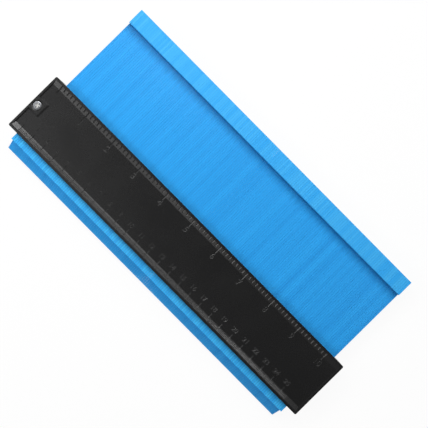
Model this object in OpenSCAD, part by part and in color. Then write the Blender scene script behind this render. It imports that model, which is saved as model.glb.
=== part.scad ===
// Contour gauge: a row of thin plastic pins that slide, each by itself, through a flat
// two-shell housing and copy the outline of whatever their toes are pressed against.
// X runs along the row of pins, Y along each pin towards its blunt head, and Z up out of
// the front face. The origin is the middle of the rear face, and all sizes are millimetres.

/* [Pins] */
// Number of pins in the row
pin_count = 164; // [40:4:212]
// Distance from one pin to the next along the row
pin_pitch = 1.595; // [1.2:0.005:2.4]
// Gap between two neighbouring pins
pin_gap = 0.04; // [0.02:0.02:0.3]
// Length of a pin's shaft between its two shoulders
shaft_l = 107.2; // [80:0.2:160]
// Height of a pin's shaft
shaft_h = 5; // [4:0.25:6]
// Length of the blunt head
head_l = 12.2; // [6:0.1:24]
// Height of the head and of the flange
head_h = 10; // [8:0.25:13]
// Chamfer on the corners of the head and on those of the flange's shoulder
pin_chamfer = 0.4; // [0.2:0.1:1]
// Length of the flange that stops the pin at the housing
flange_l = 5.6; // [3:0.1:12]
// Length of the slanted toe
toe_l = 7.3; // [4:0.1:12]
// Height of the toe where it leaves the flange
toe_h = 5.9; // [3:0.1:8]
// Height of the toe's leading edge
toe_edge = 0.5; // [0.3:0.1:1.5]

/* [Housing] */
// Width of the housing, along the pins
housing_w = 46; // [38:0.5:60]
// Height of the housing, both shells together
housing_h = 17; // [16:0.25:24]
// Radius of the housing's four corners
corner_r = 1; // [0.4:0.1:1.4]
// Plastic between the screw head's recess and the end of the housing
end_margin = 1.6; // [1.4:0.1:3]
// Plastic between the screw's bore and the row of pins
bore_wall = 1.1; // [0.5:0.1:2]

/* [Face] */
// Depth of the recessed panel below the rim
panel_depth = 1; // [0.5:0.1:1.4]
// Width of the flat rim along the long edges
rim_w = 1.95; // [1:0.05:2.5]
// Width of the sloping strip that carries a scale
strip_w = 3.2; // [2:0.05:4.5]
// Width of the flat rim at the two ends
end_rim_w = 1.4; // [1:0.1:2.5]
// Run of the steep wall at the two ends of the panel
end_slope_w = 0.5; // [0.2:0.1:1]
// Length of the screw boss's flat top, from the end of the housing
boss_l = 9.4; // [8.8:0.1:14]
// Width of the screw boss's flat top
boss_w = 9.6; // [8.4:0.2:16]
// Run of the boss's sloping sides
boss_slope_w = 1.1; // [0.2:0.1:2]
// Run of the dished mouth round the screw head's recess
mouth_w = 0.9; // [0.2:0.1:1]
// Depth of that dished mouth
mouth_depth = 0.45; // [0.1:0.05:0.8]

/* [Inside] */
// Plastic left between the panel and the moulding pockets
skin_t = 3.6; // [2:0.1:4.2]
// Width of the solid land that guides the pins at each long edge
land_w = 6.5; // [4:0.25:8]
// Thickness of the ribs between the moulding pockets
rib_t = 2; // [1:0.1:3]
// Distance from one rib to the next
rib_pitch = 20; // [12:1:24]
// Width of a friction pad
pad_w = 9; // [5:0.5:12]
// Thickness of a friction pad
pad_t = 2.8; // [1.5:0.1:3.4]
// Diameter of a locating peg
peg_d = 2.4; // [1.6:0.1:3]
// Length of a locating peg
peg_l = 2.5; // [1.5:0.1:4]
// Distance of the locating pegs from the middle of the housing
peg_y = 14; // [10:0.5:16]

/* [Screws] */
// Diameter of the screw's shank
screw_d = 2.6; // [2:0.1:3]
// Diameter of the screw's head
screw_head_d = 5.6; // [4.6:0.1:6.2]
// Height of the screw's head
screw_head_h = 1.9; // [1.4:0.1:2.2]
// Fall of the screw head's dome from its crown to its rim
screw_dome = 0.7; // [0.3:0.1:1]
// Width of one bar of the cross recess
cross_w = 0.8; // [0.5:0.1:1]
// Length of one bar of the cross recess
cross_l = 3.2; // [2.4:0.1:3.6]
// Depth of the cross recess
cross_depth = 1.1; // [0.6:0.1:1.3]

/* [Clearances] */
// Gap between a shaft and the channel's floor, and between the last pin and the channel's end
slide_clear = 0.12; // [0.05:0.01:0.25]
// Gap between the flanges and the housing as the gauge lies at rest
rest_gap = 0.2; // [0.1:0.1:4]
// Gap between a friction pad and the shafts
pad_clear = 0.03; // [0.02:0.01:0.05]
// Gap round the friction pad in its groove
groove_clear = 0.1; // [0.05:0.05:0.3]
// Gap round the screw's shank in its bore
bore_clear = 0.07; // [0.03:0.01:0.1]
// Gap round the screw's head in its recess, and above it
head_clear = 0.2; // [0.1:0.05:0.3]
// Gap round a locating peg and past its end
peg_clear = 0.05; // [0.03:0.01:0.1]
// Plastic left past the end of the screw's bore
tip_skin = 1.8; // [1.2:0.1:2.4]
// Gap between the screw's tip and the end of its bore
tip_clear = 0.5; // [0.2:0.1:1]

/* [Hidden] */
$fn = 48;
pins_per_pack = 4;
pack_count = ceil(pin_count / pins_per_pack);

// A number with two digits, so that the packs sort in their order along the row.
function two_digits(n) = n < 10 ? str("0", n) : str(n);
function pack_name(i) = str("pin_pack_", two_digits(i));

// A cut is carried this far past the face that it opens, to leave no skin.
over = 1;

row_l = pin_count * pin_pitch;
half_h = housing_h / 2;
half_w = housing_w / 2;

channel_h = shaft_h / 2 + slide_clear;
channel_l = row_l + 2 * slide_clear;
bore_r = screw_d / 2 + bore_clear;
head_recess_r = screw_head_d / 2 + head_clear;
head_recess_h = screw_head_h + head_clear;
screw_inset = end_margin + head_recess_r;
end_block_l = screw_inset + bore_r + bore_wall;
housing_l = channel_l + 2 * end_block_l;
half_l = housing_l / 2;
screw_x = half_l - screw_inset;

bore_depth = half_h - panel_depth - tip_skin;
screw_l = half_h - head_recess_h + bore_depth - tip_clear;

pad_l = channel_l - 2 * groove_clear;
pad_floor = shaft_h / 2 + pad_clear;
groove_w = pad_w + 2 * groove_clear;
groove_top = pad_floor + pad_t;
pocket_top = half_h - panel_depth - skin_t;
pocket_y = groove_w / 2 + rib_t;
pocket_w = half_w - land_w - pocket_y;
pocket_count = floor((channel_l - rib_t) / rib_pitch);
pocket_l = rib_pitch - rib_t;

pin_y = -half_w - rest_gap;

// A rectangle about the origin with round corners.
module rounded_rectangle(l, w, r) {
    square([l - 2 * r, w], center = true);
    square([l, w - 2 * r], center = true);
    for (x = [-1, 1], y = [-1, 1])
        translate([x * (l / 2 - r), y * (w / 2 - r)])
            circle(r);
}

// A bar along X with the profile, drawn in Y and Z, that is given to it.
module along_row(from, to) {
    translate([from, 0, 0])
        rotate([90, 0, 90])
            linear_extrude(to - from)
                children();
}

// A bar across the whole housing with the profile, drawn in X and Z, that is given to it.
module across_row() {
    translate([0, half_w, 0])
        rotate([90, 0, 0])
            linear_extrude(housing_w)
                children();
}

// The panel's recess: sloping strips along the long edges, steep walls at the ends.
module face_recess() {
    outer_y = half_w - rim_w;
    panel_y = outer_y - strip_w;
    outer_x = half_l - end_rim_w;
    panel_x = outer_x - end_slope_w;
    strip_rise = panel_depth / strip_w * over;
    end_rise = end_slope_w / panel_depth * over;
    floor_z = half_h - panel_depth;
    intersection() {
        along_row(-half_l, half_l)
            polygon([
                [-panel_y, floor_z], [panel_y, floor_z],
                [outer_y + over, half_h + strip_rise],
                [-outer_y - over, half_h + strip_rise]
            ]);
        across_row()
            polygon([
                [-panel_x, floor_z - over], [-panel_x, floor_z],
                [-outer_x - end_rise, half_h + over],
                [outer_x + end_rise, half_h + over],
                [panel_x, floor_z], [panel_x, floor_z - over]
            ]);
    }
}

// The square boss that carries the screw's head: level with the rim, with sloping sides.
module screw_boss() {
    root_z = half_h - panel_depth - over;
    spread = boss_slope_w * (1 + over / panel_depth);
    top_x = -half_l + boss_l;
    top_y = boss_w / 2;
    intersection() {
        along_row(-half_l, top_x + spread)
            polygon([
                [-top_y - spread, root_z], [top_y + spread, root_z],
                [top_y, half_h], [-top_y, half_h]
            ]);
        across_row()
            polygon([
                [-half_l, root_z], [top_x + spread, root_z],
                [top_x, half_h], [-half_l, half_h]
            ]);
    }
}

// Moulding pockets in two rows, one on each side of the friction pad, with ribs between.
module pockets() {
    first_x = -(pocket_count * rib_pitch - rib_t) / 2;
    for (side = [-1, 1], i = [0 : pocket_count - 1])
        translate([first_x + i * rib_pitch, side * (pocket_y + pocket_w / 2) - pocket_w / 2, -over])
            cube([pocket_l, pocket_w, pocket_top + over]);
}

// One shell, with its parting face at Z = 0 and its outer face up. Both shells are this
// moulding: the head end of one screw is opposite the threaded end of the other.
module shell() {
    difference() {
        union() {
            difference() {
                linear_extrude(half_h)
                    rounded_rectangle(housing_l, housing_w, corner_r);
                face_recess();
            }
            screw_boss();
            for (side = [-1, 1])
                translate([half_l - end_block_l / 2, side * peg_y, -peg_l])
                    cylinder(d = peg_d, h = peg_l + over);
        }
        translate([-channel_l / 2, -half_w - over, -over])
            cube([channel_l, housing_w + 2 * over, channel_h + over]);
        translate([-channel_l / 2, -groove_w / 2, -over])
            cube([channel_l, groove_w, groove_top + over]);
        pockets();
        translate([-screw_x, 0, -over])
            cylinder(r = bore_r, h = half_h + 2 * over);
        translate([-screw_x, 0, half_h - head_recess_h])
            cylinder(r = head_recess_r, h = head_recess_h + over);
        translate([-screw_x, 0, half_h - mouth_depth])
            cylinder(
                r1 = head_recess_r,
                r2 = head_recess_r + mouth_w * (1 + over / mouth_depth),
                h = mouth_depth + over
            );
        translate([screw_x, 0, -over])
            cylinder(r = bore_r, h = bore_depth + over);
        for (side = [-1, 1])
            translate([-half_l + end_block_l / 2, side * peg_y, -over])
                cylinder(d = peg_d + 2 * peg_clear, h = peg_l + peg_clear + over);
    }
}

// What is drawn above the parting face, set in its place on the front.
module at_front() {
    translate([0, 0, half_h])
        children();
}

// The same turned over about the direction of the pins, for the rear.
module at_rear() {
    translate([0, 0, half_h])
        rotate([0, 180, 0])
            children();
}

module housing_front() {
    color("#2b2b2c")
        at_front()
            shell();
}

module housing_rear() {
    color("#2b2b2c")
        at_rear()
            shell();
}

// The soft strip that presses on all the shafts.
module friction_pad() {
    color("#55585c")
        translate([-pad_l / 2, -pad_w / 2, pad_floor])
            cube([pad_l, pad_w, pad_t]);
}

// Pan-head screw with a cross recess, its head's top just under the rim.
module tension_screw() {
    seat_z = half_h - head_recess_h;
    tip_h = screw_d / 2;
    dome_r = (pow(screw_head_d / 2, 2) + pow(screw_dome, 2)) / (2 * screw_dome);
    color("#c9ccd0")
        translate([-screw_x, 0, 0])
            difference() {
                union() {
                    translate([0, 0, seat_z])
                        intersection() {
                            cylinder(d = screw_head_d, h = screw_head_h);
                            translate([0, 0, screw_head_h - dome_r])
                                sphere(dome_r);
                        }
                    translate([0, 0, seat_z - screw_l + tip_h])
                        cylinder(d = screw_d, h = screw_l - tip_h + screw_head_h / 4);
                    translate([0, 0, seat_z - screw_l])
                        cylinder(d1 = screw_d / 3, d2 = screw_d, h = tip_h);
                }
                for (turn = [0, 90])
                    rotate([0, 0, turn])
                        translate([-cross_l / 2, -cross_w / 2, seat_z + screw_head_h - cross_depth])
                            cube([cross_l, cross_w, cross_depth + over]);
            }
}

// Side outline of one pin in Y and Z, about the middle of its shaft's height, from the
// shoulder of its flange: flange and toe to the left, shaft and blunt head to the right.
module pin_outline() {
    head_end = shaft_l + head_l;
    flange_end = -flange_l;
    toe_end = flange_end - toe_l;
    top = head_h / 2;
    shaft_top = shaft_h / 2;
    toe_top = toe_h - top;
    side = top - pin_chamfer;
    polygon([
        [toe_end, -top], [-pin_chamfer, -top], [0, -side],
        [0, -shaft_top], [shaft_l, -shaft_top],
        [shaft_l, -side], [shaft_l + pin_chamfer, -top],
        [head_end - pin_chamfer, -top], [head_end, -side],
        [head_end, side], [head_end - pin_chamfer, top],
        [shaft_l + pin_chamfer, top], [shaft_l, side],
        [shaft_l, shaft_top], [0, shaft_top],
        [0, side], [-pin_chamfer, top],
        [flange_end, top], [flange_end, toe_top], [toe_end, toe_edge - top]
    ]);
}

// Pack number i of the row: neighbouring pins, each a plate of its own.
module pin_pack(i) {
    first = (i - 1) * pins_per_pack;
    last = min(first + pins_per_pack, pin_count) - 1;
    color("#2f9fe6")
        for (n = [first : last])
            translate([0, pin_y, half_h])
                along_row(-row_l / 2 + n * pin_pitch + pin_gap / 2,
                          -row_l / 2 + (n + 1) * pin_pitch - pin_gap / 2)
                    pin_outline();
}

housing_front();
housing_rear();
at_front() friction_pad();  // friction_pad_front
at_rear() friction_pad();  // friction_pad_rear
at_front() tension_screw();  // tension_screw_left
at_rear() tension_screw();  // tension_screw_right
for (i = [1 : pack_count])
    pin_pack(i);
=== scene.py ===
# %% [markdown]
# # A contour gauge, dressed and lit for its portrait
#
# A contour gauge copies outlines. A row of thin plastic pins slides through a flat housing; pushed against a
# skirting board or a pipe, each pin stops where it meets the work, and the row keeps that shape. The solids of
# the gauge are already made, at their true size, and this script loads them as a fixed frame. What is added
# here is everything that a mould, a finishing shop and a studio would add: soft edges, surface finish, the
# engraved scales, foam, steel, light and a camera.
#
# The first cell loads the frame, and a helper reads the box of any part of it.

# %% Load the frame
import math

import bmesh
import bpy
from mathutils import Matrix, Vector


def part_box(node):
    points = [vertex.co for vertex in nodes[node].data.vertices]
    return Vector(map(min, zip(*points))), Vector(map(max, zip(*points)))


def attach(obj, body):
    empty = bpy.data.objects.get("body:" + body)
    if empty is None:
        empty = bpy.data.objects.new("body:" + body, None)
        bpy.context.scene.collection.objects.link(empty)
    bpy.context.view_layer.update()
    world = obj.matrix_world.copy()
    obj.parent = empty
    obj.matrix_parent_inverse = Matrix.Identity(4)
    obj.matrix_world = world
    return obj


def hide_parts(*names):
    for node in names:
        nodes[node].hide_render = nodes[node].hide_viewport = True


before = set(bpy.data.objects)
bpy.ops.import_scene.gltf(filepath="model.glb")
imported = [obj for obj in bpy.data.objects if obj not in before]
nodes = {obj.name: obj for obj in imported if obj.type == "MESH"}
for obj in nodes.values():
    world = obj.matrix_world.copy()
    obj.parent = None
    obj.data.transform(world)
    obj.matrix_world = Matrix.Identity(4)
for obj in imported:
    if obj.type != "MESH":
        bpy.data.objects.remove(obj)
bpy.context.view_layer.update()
scene = bpy.context.scene

# %% [markdown]
# ## The sizes that the rest is worked out from
#
# X runs along the row, Y along the pins, Z up out of the front face. The housing's own box gives most places.
# The widths of its rim and of the sloping strip that carries each scale can't be read from a box, so they are
# named here once. The rear shell is the front one turned over about the direction of the pins, and one matrix
# says so: whatever is made for the front can be turned over for the back.

# %% Sizes
MM = 0.001
_, housing_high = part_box("housing_front")
FACE_Z = housing_high.z
HALF_LENGTH = housing_high.x
HALF_WIDTH = housing_high.y
PANEL_DEPTH = 1.0 * MM
RIM_WIDTH = 1.95 * MM
STRIP_WIDTH = 3.2 * MM
PIN_PITCH = 1.595 * MM

PANEL_Z = FACE_Z - PANEL_DEPTH
STRIP_OUTER_Y = HALF_WIDTH - RIM_WIDTH
STRIP_INNER_Y = STRIP_OUTER_Y - STRIP_WIDTH
TURN_OVER = Matrix.Translation((0, 0, FACE_Z)) @ Matrix.Rotation(math.pi, 4, "Y")
print("housing in mm:", [round(side / MM, 1) for side in (2 * HALF_LENGTH, 2 * HALF_WIDTH, FACE_Z)])

# %% [markdown]
# ## The camera
#
# The portrait looks straight down on the gauge, which lies at an angle across the square picture. Nearer planes
# look larger than lower ones by a measurable amount, and that fixes how far away the lens was. The camera
# keeps Blender's own downward look, and is only turned about the vertical.

# %% Camera
PICTURE_SIDE_PX = 428
FOCAL_LENGTH_PX = 621.6
CAMERA_ABOVE_FACE = 420 * MM
CAMERA_X = 2.85 * MM
CAMERA_Y = 33.3 * MM
ROW_TURN = math.radians(45.35)

camera_data = bpy.data.cameras.new("portrait_camera")
camera_data.sensor_width = 36
camera_data.lens = camera_data.sensor_width * FOCAL_LENGTH_PX / PICTURE_SIDE_PX
camera = bpy.data.objects.new("portrait_camera", camera_data)
camera.location = (CAMERA_X, CAMERA_Y, FACE_Z + CAMERA_ABOVE_FACE)
camera.rotation_euler = (0, 0, ROW_TURN)
scene.collection.objects.link(camera)
scene.camera = camera
scene.view_settings.view_transform = "Standard"
print("lens in mm:", round(camera_data.lens, 1))

# %% [markdown]
# ## Shader maths as plain Python
#
# A material is a web of nodes, and building one by hand takes three lines for each sum. The small class below
# wraps a socket, so that `1 - mask * 0.5` adds its own Math nodes. Every other node comes from its `node`
# method, which takes the node's type, its settings and what goes into its sockets.

# %% Socket class
class Wire:
    """A socket of a node tree. Sums on it add Math nodes, and node() adds any other node."""

    def __init__(self, tree, socket=None):
        self.tree = tree
        self.socket = socket

    def node(self, kind, settings=None, sockets=None, output=0):
        made = self.tree.nodes.new(kind)
        for name, value in (settings or {}).items():
            setattr(made, name, value)
        for name, value in (sockets or {}).items():
            if isinstance(value, Wire):
                self.tree.links.new(value.socket, made.inputs[name])
            else:
                made.inputs[name].default_value = value
        return Wire(self.tree, made.outputs[output])

    def math(self, operation, first, second=0.0):
        return self.node("ShaderNodeMath", {"operation": operation}, {0: first, 1: second})

    def __add__(self, other):
        return self.math("ADD", self, other)

    def __sub__(self, other):
        return self.math("SUBTRACT", self, other)

    def __rsub__(self, other):
        return self.math("SUBTRACT", other, self)

    def __mul__(self, other):
        return self.math("MULTIPLY", self, other)

    def __truediv__(self, other):
        return self.math("DIVIDE", self, other)

    __radd__ = __add__
    __rmul__ = __mul__


def new_finish(name):
    """An empty material: its tree as a Wire, and the shader node that gives its surface."""
    material = bpy.data.materials.new(name)
    material.use_nodes = True
    tree = material.node_tree
    return material, Wire(tree), tree.nodes["Principled BSDF"]


def feed(shader, **inputs):
    """Sets or links a shader's sockets, named with underscores for spaces."""
    for name, value in inputs.items():
        socket = shader.inputs[name.replace("_", " ")]
        if isinstance(value, Wire):
            value.tree.links.new(value.socket, socket)
        else:
            socket.default_value = value


def mix_colour(wire, share, first, second):
    """A colour between two, by a share that may change over the surface."""
    return wire.node("ShaderNodeMix", {"data_type": "RGBA"}, {0: share, 6: first, 7: second}, output=2)


def object_place(wire):
    """The place on the object as a vector, and its parts along the row, along the pins and up."""
    place = wire.node("ShaderNodeTexCoord", output="Object")
    parts = [wire.node("ShaderNodeSeparateXYZ", sockets={0: place}, output=axis) for axis in range(3)]
    return place, *parts


def noise(wire, place, scale, detail):
    """A cloudy pattern over the surface, from 0 to 1."""
    return wire.node("ShaderNodeTexNoise", sockets={"Vector": place, "Scale": scale, "Detail": detail})


print("shader maths ready")

# %% [markdown]
# ## Blue pin plastic
#
# The pins are moulded from light blue plastic and stand side by side like pages. No two have quite the same
# sheen: they come from different shots, and each lies a hair higher or lower than the next. So the colour takes
# one random number per pin, found by dividing the place along the row by the pins' pitch, and a second, slower
# drift along the row. Fine lines along each pin, where it slides, break up the gloss. The blunt heads and the
# flanges are twice as high as the shafts. The heads are painted paler and whiter, a painted sheen, and the
# flanges paler still, painted light that makes up for the housing's shadow on them. They never pass through the
# housing, so they are duller too, and painted shade lies in the gaps along their edges. Under the heads, a painted
# shadow of their step deepens the lamp's own on the shafts: darkest at the step, it fades out along each shaft, on
# some sooner than on others.

# %% Pin plastic
PIN_BLUE = (0.030, 0.370, 0.850, 1)
PIN_BLUE_DEEP = (0.020, 0.280, 0.710, 1)
# Painted shade: the colour of the heads' step shadow on the shafts and of the gaps between heads and flanges.
PAINTED_SHADE_BLUE = (0.004, 0.130, 0.360, 1)
# Heads painted paler and whiter than the shafts, a painted sheen; flanges paler still, painted light for the
# housing's shadow.
HEAD_SHEEN_BLUE = (0.062, 0.456, 0.900, 1)
FLANGE_LIT_BLUE = (0.062, 0.520, 0.970, 1)
PIN_SHEEN = 0.15
row_low, row_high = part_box("pin_pack_01")
ROW_START = row_low.x
PIN_MIDDLE_Z = (row_low.z + row_high.z) / 2
SHAFT_HALF_HEIGHT = 2.55 * MM
TOE_ROOT_Y = -28.85 * MM
HEAD_LENGTH = 12.2 * MM
STEP_Y = row_high.y - HEAD_LENGTH
# Painted shadow of the heads' step: its share at the step, and how far it reaches along each shaft.
STEP_SHADOW_SHARE = 0.74
STEP_SHADOW_REACH = 5.2 * MM
STEP_SHADOW_SPREAD = 6.0 * MM
# Painted shade in the gaps along the edges of the heads and flanges: where it lies, and how strong.
GAP_EDGE = 0.38
HEAD_GAP_SHADE = 0.16
FLANGE_GAP_SHADE = 0.26
STREAK_STRETCH = (2600.0, 30.0, 900.0)
PIN_GRAIN_DEPTH = 0.04 * MM


def row_noise(wire, along_row, scale, detail):
    """A pattern that changes along the row only."""
    inputs = {"W": along_row, "Scale": scale, "Detail": detail}
    return wire.node("ShaderNodeTexNoise", {"noise_dimensions": "1D"}, inputs)


def film_share(wire, along_row, along_pin):
    """Painted shadow of the head's step on a shaft: strongest at the step, fading out at an uneven distance from
    it.
    """
    from_step = STEP_Y - along_pin
    shadow_end = STEP_SHADOW_REACH + row_noise(wire, along_row, 420.0, 2.0) * STEP_SHADOW_SPREAD
    fading = {"Value": from_step, "From Min": 0.0, "From Max": shadow_end, "To Min": STEP_SHADOW_SHARE, "To Max": 0.0}
    shadow_fade = wire.node("ShaderNodeMapRange", {"interpolation_type": "SMOOTHSTEP"}, fading)
    return shadow_fade * wire.math("GREATER_THAN", from_step, 0.0)


def pin_plastic():
    material, wire, shader = new_finish("blue_pin_plastic")
    place, along_row, along_pin, up = object_place(wire)
    pin_share = (along_row - ROW_START) / PIN_PITCH
    pin_number = wire.math("FLOOR", pin_share)
    chance = wire.node("ShaderNodeTexWhiteNoise", {"noise_dimensions": "1D"}, {"W": pin_number}, output="Value")
    drift = row_noise(wire, along_row, 190.0, 1.0)
    stretched = wire.node("ShaderNodeMapping", sockets={"Vector": place, "Scale": STREAK_STRETCH})
    streak = noise(wire, stretched, 1.0, 3.0)
    shade = chance * 0.25 + drift * 0.90 + streak * 0.25 - 0.30
    slid = mix_colour(wire, shade, PIN_BLUE, PIN_BLUE_DEEP)
    # Painted shadow of the head's step laid over the shafts, deepening the lamp's own shadow.
    slid = mix_colour(wire, film_share(wire, along_row, along_pin), slid, PAINTED_SHADE_BLUE)

    off_middle = wire.math("ABSOLUTE", up - PIN_MIDDLE_Z)
    not_toe = wire.math("GREATER_THAN", along_pin, TOE_ROOT_Y)
    thick = wire.math("GREATER_THAN", off_middle, SHAFT_HALF_HEIGHT) * not_toe
    on_flange = wire.math("LESS_THAN", along_pin, 0.0)
    # Painted sheen on the heads and painted light on the flanges.
    pale = mix_colour(wire, on_flange, HEAD_SHEEN_BLUE, FLANGE_LIT_BLUE)
    pale = mix_colour(wire, chance * 0.7 + streak * 0.4, pale, PIN_BLUE)
    # Painted shade in the gaps between the heads and between the flanges, stronger on the flanges.
    off_centre = wire.math("ABSOLUTE", pin_share - pin_number - 0.5)
    gap_shade = wire.math("GREATER_THAN", off_centre, GAP_EDGE) * (HEAD_GAP_SHADE + on_flange * FLANGE_GAP_SHADE)
    pale = mix_colour(wire, gap_shade, pale, PAINTED_SHADE_BLUE)
    colour = mix_colour(wire, thick, slid, pale)

    height = streak * 0.7 + noise(wire, place, 5200.0, 2.0) * 0.3
    normal = wire.node("ShaderNodeBump", sockets={"Strength": 0.12, "Distance": PIN_GRAIN_DEPTH, "Height": height})
    roughness = 0.22 + streak * 0.10 + chance * 0.04 + thick * 0.18
    feed(shader, Base_Color=colour, Roughness=roughness, Normal=normal, Specular_IOR_Level=PIN_SHEEN)
    return material


pin_finish = pin_plastic()
print("finish made:", pin_finish.name)

# %% [markdown]
# ## Black housing plastic
#
# The shells are black moulded plastic with a fine spark-eroded texture, which is what makes the panel look soft
# and grey where it mirrors the light. A small, dense noise gives that texture as bump, and a larger, weaker
# one clouds the gloss a little, as handling does.

# %% Housing plastic
HOUSING_BLACK = (0.0036, 0.0036, 0.0038, 1)
HOUSING_GREY = (0.0074, 0.0074, 0.0077, 1)
SPARK_DEPTH = 0.03 * MM


def housing_plastic():
    material, wire, shader = new_finish("black_housing_plastic")
    place = wire.node("ShaderNodeTexCoord", output="Object")
    spark = noise(wire, place, 2600.0, 3.0)
    cloud = noise(wire, place, 45.0, 4.0)
    colour = mix_colour(wire, spark * 0.5 + cloud * 0.5, HOUSING_BLACK, HOUSING_GREY)
    normal = wire.node("ShaderNodeBump", sockets={"Strength": 0.25, "Distance": SPARK_DEPTH, "Height": spark})
    feed(shader, Base_Color=colour, Roughness=0.20 + cloud * 0.08 + spark * 0.06, Normal=normal)
    return material


housing_finish = housing_plastic()
print("finish made:", housing_finish.name)

# %% [markdown]
# ## Bright screw steel and dark foam
#
# The two screws are zinc-plated steel, dulled by handling: a metal with a cool tint and a cloudy tarnish. The
# recess of the cross is found by its place below the head's face, and there the metal gives way to flat white: a
# painted highlight for the bright cross. The pads inside are dense foam rubber. Nobody sees them in the portrait,
# but a part that is taken apart shows them, so they get open pores from a cell texture, with painted shade in
# their pits.

# %% Screw steel and pad foam
STEEL_LIGHT = (0.29, 0.295, 0.305, 1)
STEEL_DARK = (0.10, 0.105, 0.115, 1)
# Painted highlight: the flat white that fills the cross recess in place of the bright glint in the cross.
RECESS_HIGHLIGHT_WHITE = (0.56, 0.56, 0.55, 1)
screw_low, screw_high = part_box("tension_screw_left")
HEAD_RADIUS = (screw_high.x - screw_low.x) / 2
SCREW_X = abs(screw_high.x + screw_low.x) / 2
HIGHLIGHT_BELOW_FACE = 0.12 * MM
HIGHLIGHT_DEPTH = 1.0 * MM
RECESS_RADIUS = 2.1 * MM
RECESS_TOP = screw_high.z - FACE_Z / 2 - HIGHLIGHT_BELOW_FACE
RECESS_FLOOR = RECESS_TOP - HIGHLIGHT_DEPTH
# Painted shade in the pits of the foam's pores.
FOAM_PIT_SHADE = (0.030, 0.032, 0.034, 1)
FOAM_GREY = (0.095, 0.100, 0.105, 1)
PORE_DEPTH = 0.2 * MM


def screw_steel():
    material, wire, shader = new_finish("bright_screw_steel")
    place, along_row, along_pin, up = object_place(wire)
    tarnish = noise(wire, place, 900.0, 4.0)
    off_axis = wire.math("ABSOLUTE", along_row) - SCREW_X
    from_axis = wire.math("SQRT", off_axis * off_axis + along_pin * along_pin)
    off_middle = wire.math("ABSOLUTE", up - FACE_Z / 2)
    in_recess = wire.math("LESS_THAN", from_axis, RECESS_RADIUS) * wire.math("LESS_THAN", off_middle, RECESS_TOP)
    # Painted highlight: the recess below the face turns flat white and non-metallic.
    painted_highlight = in_recess * wire.math("GREATER_THAN", off_middle, RECESS_FLOOR)
    colour = mix_colour(wire, painted_highlight, mix_colour(wire, tarnish, STEEL_LIGHT, STEEL_DARK), RECESS_HIGHLIGHT_WHITE)
    roughness = 0.24 + tarnish * 0.20 + painted_highlight * 0.50
    feed(shader, Base_Color=colour, Metallic=1 - painted_highlight, Roughness=roughness)
    return material


def pad_foam():
    material, wire, shader = new_finish("grey_pad_foam")
    place = wire.node("ShaderNodeTexCoord", output="Object")
    cells = wire.node("ShaderNodeTexVoronoi", sockets={"Vector": place, "Scale": 1700.0}, output="Distance")
    # Painted shade: the pits of the pores, lowest in the bump, are darker.
    colour = mix_colour(wire, cells, FOAM_PIT_SHADE, FOAM_GREY)
    normal = wire.node("ShaderNodeBump", sockets={"Strength": 0.8, "Distance": PORE_DEPTH, "Height": cells})
    feed(shader, Base_Color=colour, Roughness=0.95, Normal=normal)
    return material


steel_finish = screw_steel()
foam_finish = pad_foam()
print("finishes made:", steel_finish.name, foam_finish.name)

# %% [markdown]
# ## Soft edges on the solids
#
# A solid from a drawing has edges of no width, and no moulded edge is like that. The solids must stay as they
# are, but modifiers may be laid over them: Weld joins the faces into one skin, and Bevel rounds each edge by a
# fraction of a millimetre. The bevel on the pins is what draws the fine lines between them.

# %% Edges and finish of the pins
PIN_SOFT_EDGE = 0.05 * MM
SAME_PLACE = 0.002 * MM


def soften(solid, width):
    """Rounds a solid's edges with modifiers alone."""
    weld = solid.modifiers.new("join_faces", "WELD")
    weld.merge_threshold = SAME_PLACE
    bevel = solid.modifiers.new("soft_edges", "BEVEL")
    bevel.width = width
    bevel.segments = 2
    bevel.limit_method = "ANGLE"
    bevel.angle_limit = math.radians(25)
    bevel.harden_normals = False
    bevel.miter_outer = "MITER_ARC"


pins = [solid for name, solid in nodes.items() if name.startswith("pin_pack")]
for pin in pins:
    pin.data.materials.clear()
    pin.data.materials.append(pin_finish)
    soften(pin, PIN_SOFT_EDGE)
print("pin packs softened:", len(pins))

# %% [markdown]
# ## Putting new pieces on the gauge
#
# A piece that is made here has to belong somewhere: it rides on a body, so that it moves with it, takes its finish,
# and hides the plain solid that it stands for. Each piece is built as a bmesh, which is Blender's own editable
# mesh in memory. One helper lays a closed skin over a row of rings, and one turns a bmesh into an object. Another
# cuts a shape out of an object with a Boolean modifier and keeps the finished mesh, so no modifier is left on it.

# %% Piece helpers
def skin_rings(shape, rings):
    """Joins rings of points, all of one count, by faces, and closes both ends."""
    for near, far in zip(rings, rings[1:]):
        for i in range(len(near)):
            j = (i + 1) % len(near)
            shape.faces.new((near[i], near[j], far[j], far[i]))
    shape.faces.new(rings[0])
    shape.faces.new(rings[-1])


def shape_object(name, shape):
    """A bmesh as an object of the scene, its normals outward."""
    mesh = bpy.data.meshes.new(name)
    bmesh.ops.recalc_face_normals(shape, faces=shape.faces)
    shape.to_mesh(mesh)
    thing = bpy.data.objects.new(name, mesh)
    scene.collection.objects.link(thing)
    return thing


def cut_away(thing, cutter):
    """Cuts one object out of another and deletes the cutter."""
    cut = thing.modifiers.new("cut", "BOOLEAN")
    cut.operation = "DIFFERENCE"
    cut.solver = "MANIFOLD"
    cut.object = cutter
    ready = thing.evaluated_get(bpy.context.evaluated_depsgraph_get())
    thing.data = bpy.data.meshes.new_from_object(ready)
    thing.modifiers.clear()
    bpy.data.objects.remove(cutter)


def fit_piece(piece, finish, body, node, smooth_below):
    """Gives a piece its finish and its place on the gauge, and smooths edges that bend less than an angle."""
    piece.data.materials.clear()
    piece.data.materials.append(finish)
    piece.data.shade_smooth()
    piece.data.set_sharp_from_angle(angle=math.radians(smooth_below))
    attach(piece, body)
    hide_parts(node)


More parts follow.
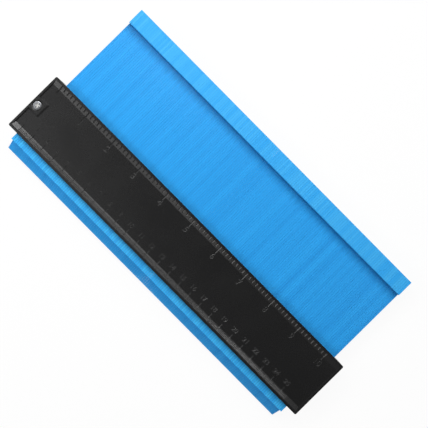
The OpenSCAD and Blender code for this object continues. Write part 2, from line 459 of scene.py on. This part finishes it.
def open_edges(piece):
    """How many edges of a mesh don't have exactly two faces: none, in a closed skin."""
    shape = bmesh.new()
    shape.from_mesh(piece.data)
    count = sum(len(edge.link_faces) != 2 for edge in shape.edges)
    shape.free()
    return count


print("piece helpers ready")

# %% [markdown]
# ## The engraved scales
#
# The two sloping strips are graduated: eighths of an inch along one edge, millimetres along the other. The marks
# are grooves in the black plastic with no paint in them. They show only because one wall of a groove mirrors
# the lamps at the left and the other wall mirrors the dark side of the room, so they have to be real grooves.
# The cutter for one groove is a bar with a pointed belly, made of rings that follow the strip's slope. Whole
# inches and centimetres run on a little way over the panel. All the bars go into one bmesh, and the numerals
# follow: two cuts one after the other would leave folded slivers where they meet.

# %% Groove cutters
SCALE_ZERO_X = -130.3 * MM
CUTTER_LIFT = 0.3 * MM
RIM_BITE = 0.25 * MM
SHORT_REACH = 0.74
HALF_REACH = 0.88
WALL_SLOPE = 0.51
LONG_END_Y = 15.2 * MM
INCH = 25.4 * MM
CENTIMETRE = 10 * MM
INCH_MARKS = {"side": +1, "pitch": INCH / 8, "count": 80, "per_half": 4}
INCH_GROOVES = {"width": 1.12 * MM, "whole_width": 1.14 * MM}
MM_MARKS = {"side": -1, "pitch": MM, "count": 255, "per_half": 5}
MM_GROOVES = {"width": 0.44 * MM, "whole_width": 0.64 * MM}


def face_height(y):
    """Height of the front face at a distance from the middle line: rim, sloping strip or panel."""
    down = (STRIP_OUTER_Y - abs(y)) / STRIP_WIDTH
    return FACE_Z - PANEL_DEPTH * min(max(down, 0), 1)


def add_groove(shape, x, stops, width, depth):
    """The cutter of one groove across the strip at x, over the given places in Y."""
    half = width / 2
    corners = ((-half, CUTTER_LIFT), (-half, 0), (0, -depth), (half, 0), (half, CUTTER_LIFT))
    rings = []
    for y in stops:
        ground = face_height(y)
        rings.append([shape.verts.new((x + across, y, ground + rise)) for across, rise in corners])
    skin_rings(shape, rings)


def groove_stops(side, reach, long):
    """Places in Y of a groove that starts in the rim and goes a share of the way down the strip."""
    ends = [STRIP_OUTER_Y + RIM_BITE, STRIP_OUTER_Y, STRIP_OUTER_Y - reach * STRIP_WIDTH]
    if long:
        ends = ends[:2] + [STRIP_INNER_Y, LONG_END_Y]
    return [side * y for y in ends]


def add_scale(shape, side, pitch, count, per_half, width, whole_width):
    """All the grooves of one scale: short ones, longer ones at each half, the longest and widest at each whole."""
    for i in range(count + 1):
        whole = i % (2 * per_half) == 0
        reach = HALF_REACH if i % per_half == 0 else SHORT_REACH
        breadth = whole_width if whole else width
        stops = groove_stops(side, reach, whole)
        add_groove(shape, SCALE_ZERO_X + i * pitch, stops, breadth, WALL_SLOPE * breadth / 2)


cutter = bmesh.new()
add_scale(cutter, **INCH_MARKS, **INCH_GROOVES)
add_scale(cutter, **MM_MARKS, **MM_GROOVES)
print("faces of the groove cutters:", len(cutter.faces))

# %% [markdown]
# ## The numerals
#
# Each whole inch and centimetre has its number on the panel beside it, sunk into the plastic like the grooves.
# Blender's text object gives the outlines. With no thickness but a bevel, a text becomes a flat cushion: placed
# half in the panel, its lower half cuts a number with sloping walls, which is what catches the light. Each number
# is scaled by its own box, because a font's line height is more than its digits', and lifted by a hair: a
# cutter with edges exactly in the panel's face would leave slivers.

# %% Numeral cutters
NUMERAL_DEPTH = 0.125 * MM
NUMERAL_LIFT = 0.006 * MM
STROKE_BEVEL = 0.050
STROKE_OFFSET = -0.020
INCH_NUMERAL_Y = 12.7 * MM
INCH_NUMERAL_HEIGHT = 4.5 * MM
CENTIMETRE_NUMERAL_Y = -11.6 * MM
CENTIMETRE_NUMERAL_HEIGHT = 3.5 * MM
CENTIMETRE_NUMERAL_SHIFT = -1.0 * MM


def add_numeral(shape, text, x, y, height):
    """Adds the cutter of one number, half sunk in the panel, to a bmesh."""
    outline = bpy.data.curves.new("numeral", "FONT")
    outline.body = text
    outline.bevel_depth = STROKE_BEVEL
    outline.bevel_resolution = 0
    outline.offset = STROKE_OFFSET
    outline.resolution_u = 3
    holder = bpy.data.objects.new("numeral", outline)
    mesh = bpy.data.meshes.new_from_object(holder)
    low = Vector([min(v.co[k] for v in mesh.vertices) for k in range(3)])
    high = Vector([max(v.co[k] for v in mesh.vertices) for k in range(3)])
    size = height / (high.y - low.y)
    sink = 2 * NUMERAL_DEPTH / (high.z - low.z)
    place = Matrix.Translation((x, y, PANEL_Z + NUMERAL_LIFT)) @ Matrix.Diagonal((size, size, sink, 1))
    mesh.transform(place @ Matrix.Translation(-(low + high) / 2))
    shape.from_mesh(mesh)
    bpy.data.objects.remove(holder)
    bpy.data.curves.remove(outline)
    bpy.data.meshes.remove(mesh)


for number in range(1, 11):
    x = SCALE_ZERO_X + number * INCH
    add_numeral(cutter, str(number), x, INCH_NUMERAL_Y, INCH_NUMERAL_HEIGHT)
for number in range(1, 26):
    x = SCALE_ZERO_X + number * CENTIMETRE + CENTIMETRE_NUMERAL_SHIFT
    add_numeral(cutter, str(number), x, CENTIMETRE_NUMERAL_Y, CENTIMETRE_NUMERAL_HEIGHT)
bmesh.ops.remove_doubles(cutter, verts=cutter.verts, dist=SAME_PLACE)
print("faces of the groove and numeral cutters:", len(cutter.faces))

# %% [markdown]
# ## The two shells
#
# Now the shells are made as the mould makes them. Each starts as a copy of its solid, gets its soft edges, and
# then the grooves and numbers are cut into it. The order matters: a bevel after the cuts would have to fit
# between the grooves, and would shrink to nothing. For the rear shell, the same cutter is turned over.

# %% Engraved shells
HOUSING_SOFT_EDGE = 0.18 * MM


def engraved_shell(name, node):
    """A copy of a shell's solid with soft edges, cut by the scales and the numerals."""
    solid = nodes[node].data
    skin = bpy.data.meshes.new(name)
    skin.from_pydata([v.co for v in solid.vertices], [], [list(face.vertices) for face in solid.polygons])
    shell = bpy.data.objects.new(name, skin)
    scene.collection.objects.link(shell)
    soften(shell, HOUSING_SOFT_EDGE)
    cut_away(shell, shape_object("scale_cutter", cutter))
    fit_piece(shell, housing_finish, "housing", node, smooth_below=0)
    print(name, "faces:", len(shell.data.polygons), "open edges:", open_edges(shell))


engraved_shell("shell_front", "housing_front")
bmesh.ops.transform(cutter, matrix=TURN_OVER, verts=cutter.verts)
engraved_shell("shell_rear", "housing_rear")
cutter.free()

# %% [markdown]
# ## The tension screws
#
# A pan-head screw at each end draws the shells together and sets how stiffly the pins slide. It is a turned part,
# so it is built as one: rings of points round an axis, from the tip up to the middle of the head. On the shank
# the radius also changes with the angle, and that winds the thread, which runs out at the tip and under the head.

# %% Screw body
SCREW_STEPS = 40
THREAD_PITCH = 1.0 * MM
THREAD_CORE = 1.04 * MM
THREAD_RISE = 0.25 * MM
THREAD_ROWS = 96
CREST_SHARPNESS = 2.4
RUN_OUT = 0.6 * MM
TIP_LENGTH = 1.4 * MM
TIP_NARROWING = 0.35 * MM
HEAD_HEIGHT = 1.9 * MM
SEAT_SHARE = 0.97
SEAT_CHAMFER = 0.08 * MM
DOME_SHARES = (1.0, 0.99, 0.96, 0.91, 0.84, 0.74, 0.60, 0.44, 0.26, 0.08)
DOME_HEIGHT = 0.20 * MM
SEAT_Z = screw_high.z - HEAD_HEIGHT


def thread_radius(height, turn):
    """Radius of the shank at a height and a share of a full turn, with its winding crest."""
    wind = (height / THREAD_PITCH - turn) % 1
    crest = max(0, 1 - CREST_SHARPNESS * abs(wind - 0.5))
    fade = min(1, max(0, (SEAT_Z - height) / RUN_OUT), (height - screw_low.z) / TIP_LENGTH)
    return THREAD_CORE - TIP_NARROWING * max(0, 1 - fade) + THREAD_RISE * crest * fade


def screw_rings():
    """Height and radius, by share of a turn, of every ring from the tip to the top of the head."""
    for row in range(THREAD_ROWS + 1):
        height = screw_low.z + (SEAT_Z - screw_low.z) * row / THREAD_ROWS
        yield height, lambda turn, height=height: thread_radius(height, turn)
    yield SEAT_Z, lambda turn: HEAD_RADIUS * SEAT_SHARE
    yield SEAT_Z + SEAT_CHAMFER, lambda turn: HEAD_RADIUS
    for share in DOME_SHARES:
        height = screw_high.z - DOME_HEIGHT * share ** 4
        yield height, lambda turn, share=share: HEAD_RADIUS * share


def screw_body():
    shape = bmesh.new()
    rings = []
    for height, radius in screw_rings():
        ring = []
        for step in range(SCREW_STEPS):
            turn = step / SCREW_STEPS
            angle = 2 * math.pi * turn
            reach = radius(turn)
            ring.append(shape.verts.new((reach * math.cos(angle) - SCREW_X, reach * math.sin(angle), height)))
        rings.append(ring)
    skin_rings(shape, rings)
    return shape


print("screw radius and length in mm:", [round(side / MM, 2) for side in (HEAD_RADIUS, screw_high.z - screw_low.z)])

# %% [markdown]
# ## The cross in the screw heads
#
# The cross is punched last, as in a screw works: a tapered punch for one pair of wings, then the same a quarter
# turn on. The screw at the back is the same piece turned over.

# %% Cross recess and both screws
CROSS_TURN = math.radians(30)
CROSS_DEPTH = 0.75 * MM
CROSS_TOP = (1.90 * MM, 0.66 * MM)
CROSS_FLOOR = (1.10 * MM, 0.26 * MM)
PUNCH_LIFT = 0.1 * MM


def cross_wing(turn):
    """The tapered punch of one pair of wings, from above the head down to the recess's floor."""
    shape = bmesh.new()
    corners = []
    for rise, (length, width) in ((PUNCH_LIFT, CROSS_TOP), (-CROSS_DEPTH, CROSS_FLOOR)):
        for along, across in ((-1, -1), (1, -1), (1, 1), (-1, 1)):
            place = Matrix.Rotation(turn, 3, "Z") @ Vector((along * length, across * width, 0))
            corners.append(shape.verts.new((place.x - SCREW_X, place.y, screw_high.z + rise)))
    skin_rings(shape, [corners[:4], corners[4:]])
    return shape


def tension_screw(name, node, turn_over):
    """A turned, threaded and punched screw in place of a plain one."""
    screw = shape_object(name, screw_body())
    for quarter in (0, math.pi / 2):
        cut_away(screw, shape_object("punch", cross_wing(CROSS_TURN + quarter)))
    if turn_over:
        screw.data.transform(TURN_OVER)
    fit_piece(screw, steel_finish, node, node, smooth_below=32)
    print(name, "faces:", len(screw.data.polygons), "open edges:", open_edges(screw))


tension_screw("cross_screw_front", "tension_screw_left", False)
tension_screw("cross_screw_rear", "tension_screw_right", True)

# %% [markdown]
# ## The foam strips
#
# Inside, a strip of dense foam in each shell presses on all the shafts and holds every pin where it was pushed.
# Cut foam has no sharp edges and is never quite straight. So each strip is a row of rounded cross-sections, a
# little larger and smaller along its length, and always inside the groove that holds it.

# %% Foam strips
STRIP_STATIONS = 150
SECTION_POINTS = 20
SECTION_POWER = 0.30
END_SHARES = (0.80, 0.93, 0.98)
UNEVENNESS = 0.025


def section_size(station):
    """Share of the full section at a station: rounded off at the ends, slightly uneven between."""
    from_end = min(station, STRIP_STATIONS - station)
    wave = 0.5 + 0.5 * math.sin(0.9 * station) * math.cos(0.37 * station + 1.3)
    return END_SHARES[from_end] if from_end < len(END_SHARES) else 1 - UNEVENNESS * wave


def rounded(value):
    """Pushes a sine or cosine outward, so that a circle becomes a rounded rectangle."""
    return math.copysign(abs(value) ** SECTION_POWER, value)


def foam_strip(name, node):
    low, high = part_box(node)
    middle, half = (low + high) / 2, (high - low) / 2
    shape = bmesh.new()
    rings = []
    for station in range(STRIP_STATIONS + 1):
        x = low.x + (high.x - low.x) * station / STRIP_STATIONS
        share = section_size(station)
        ring = []
        for point in range(SECTION_POINTS):
            angle = 2 * math.pi * (point + 0.5) / SECTION_POINTS
            y = middle.y + share * half.y * rounded(math.cos(angle))
            z = middle.z + share * half.z * rounded(math.sin(angle))
            ring.append(shape.verts.new((x, y, z)))
        rings.append(ring)
    skin_rings(shape, rings)
    strip = shape_object(name, shape)
    fit_piece(strip, foam_finish, "housing", node, smooth_below=40)
    print(name, "faces:", len(strip.data.polygons))


foam_strip("foam_strip_front", "friction_pad_front")
foam_strip("foam_strip_rear", "friction_pad_rear")

# %% [markdown]
# ## The floor and the world
#
# The portrait is a studio cut-out: white all round, with soft light. The floor is white to the camera and to
# what metal and gloss mirror, and an ordinary pale surface to everything else, so it still takes a faint shadow.
# Right under the lens the camera looks straight down between the pins. There, hairlines on the floor under the
# gaps stay in the gauge's own shade, or white would shine through the row.
#
# The world gives a weak, even fill. A mirror ray that leaves near the horizon finds the white backdrop there, and
# one that goes up finds the dim ceiling, which is what keeps the black panel black.

# %% Floor and world
FLOOR_SIDE = 6.0
FLOOR_DROP = 0.05 * MM
FLOOR_WHITE = 0.92
FLOOR_GLOW_SHARE = 0.93
GAP_SHARE = 0.1
GAPS_REACH = 5 * MM
HALF_ROW = 58 * MM
WORLD_LIGHT = 0.17
BACKDROP_TOP = 0.30


def ray_kind(wire, kind):
    """1 for rays of one kind, such as those from the camera."""
    return wire.node("ShaderNodeLightPath", output=kind)


def mirror_rays(wire):
    """1 for rays that gloss or glass sends on."""
    return wire.math("MAXIMUM", ray_kind(wire, "Is Glossy Ray"), ray_kind(wire, "Is Transmission Ray"))


def off_gaps(wire):
    """0 on hairlines under the pin gaps near the lens, 1 on the rest of the floor."""
    _, along_row, along_pin, _ = object_place(wire)
    pin_share = (along_row - ROW_START) / PIN_PITCH
    to_gap = wire.math("ABSOLUTE", pin_share - wire.math("ROUND", pin_share)) / GAP_SHARE
    off_lens = wire.math("ABSOLUTE", along_row - CAMERA_X) / GAPS_REACH
    off_middle = wire.math("ABSOLUTE", along_pin - CAMERA_Y) / HALF_ROW
    farthest = wire.math("MAXIMUM", to_gap, wire.math("MAXIMUM", off_lens, off_middle))
    return wire.math("GREATER_THAN", farthest, 1.0)


def floor_finish():
    material, wire, shader = new_finish("floor_white")
    feed(shader, Base_Color=(FLOOR_WHITE, FLOOR_WHITE, FLOOR_WHITE, 1), Roughness=0.9)
    glow = wire.node("ShaderNodeEmission", sockets={"Color": (1, 1, 1, 1), "Strength": 1.0})
    lit = Wire(wire.tree, shader.outputs[0])
    seen = ray_kind(wire, "Is Camera Ray") * off_gaps(wire)
    share = wire.math("MAXIMUM", seen, mirror_rays(wire)) * FLOOR_GLOW_SHARE
    mixed = wire.node("ShaderNodeMixShader", sockets={0: share, 1: lit, 2: glow})
    wire.tree.links.new(mixed.socket, wire.tree.nodes["Material Output"].inputs["Surface"])
    return material


bpy.ops.mesh.primitive_plane_add(size=FLOOR_SIDE, location=(0, 0, -FLOOR_DROP))
floor = bpy.context.object
floor.name = "floor"
floor.data.materials.append(floor_finish())

world = bpy.data.worlds.new("studio")
world.use_nodes = True
scene.world = world
sky = Wire(world.node_tree)
direction = sky.node("ShaderNodeTexCoord", output="Generated")
upward = sky.node("ShaderNodeSeparateXYZ", sockets={0: direction}, output=2)
low_down = sky.math("LESS_THAN", upward, BACKDROP_TOP)
white = sky.math("MAXIMUM", ray_kind(sky, "Is Camera Ray"), mirror_rays(sky) * low_down)
brightness = WORLD_LIGHT + white * (1 - WORLD_LIGHT)
feed(world.node_tree.nodes["Background"], Color=(1, 1, 1, 1), Strength=brightness)
print("floor side in m:", FLOOR_SIDE)

# %% [markdown]
# ## The lamps
#
# Large rectangular lamps stand round the gauge, about half a metre off. The key stands behind the heads, some 40
# degrees up, and throws their soft shadow on the shafts. Two rows of smaller ones hang beside the camera, brightest
# at the left: the two sloping strips mirror them, and so do the walls of the grooves. The panel's left end mirrors
# the end boxes. Nothing bright hangs straight above.

# %% Lamps
GAUGE_MIDDLE = Vector((0, 20 * MM, 10 * MM))
# name: place in metres, width and height in metres, brightness of its face
LAMPS = {
    "key_box": ((0.00, 0.66, 0.60), (0.90, 0.44), 1.95),
    "key_left_box": ((-0.50, 0.58, 0.60), (0.60, 0.44), 1.5),
    "heads_left_box": ((-0.37, 0.20, 0.45), (0.24, 0.10), 13.0),
    "heads_middle_box": ((-0.10, 0.20, 0.45), (0.30, 0.10), 3.6),
    "heads_right_box": ((0.22, 0.20, 0.45), (0.34, 0.10), 0.7),
    "toes_left_box": ((-0.37, -0.29, 0.42), (0.24, 0.13), 4.2),
    "toes_middle_box": ((-0.10, -0.29, 0.42), (0.30, 0.13), 1.8),
    "toes_right_box": ((0.22, -0.29, 0.42), (0.34, 0.13), 0.25),
    "toes_far_box": ((-0.565, -0.29, 0.42), (0.13, 0.13), 11.0),
    "flange_box": ((-0.05, -0.15, 0.46), (0.50, 0.10), 0.7),
    "end_box": ((-0.45, -0.03, 0.45), (0.24, 0.22), 1.9),
    "end_far_box": ((-0.68, -0.05, 0.42), (0.30, 0.20), 1.6),
}


def softbox(name, place, size, brightness):
    """A rectangular lamp that faces the gauge, with a face of the given brightness."""
    lamp = bpy.data.lights.new(name, "AREA")
    lamp.shape = "RECTANGLE"
    lamp.size, lamp.size_y = size
    lamp.energy = brightness * math.pi * size[0] * size[1]
    stand = bpy.data.objects.new(name, lamp)
    stand.location = place
    towards = Vector(place) - GAUGE_MIDDLE
    stand.rotation_euler = towards.to_track_quat("Z", "Y").to_euler()
    scene.collection.objects.link(stand)


for name, (place, size, brightness) in LAMPS.items():
    softbox(name, place, size, brightness)
print("lamps:", len(LAMPS))
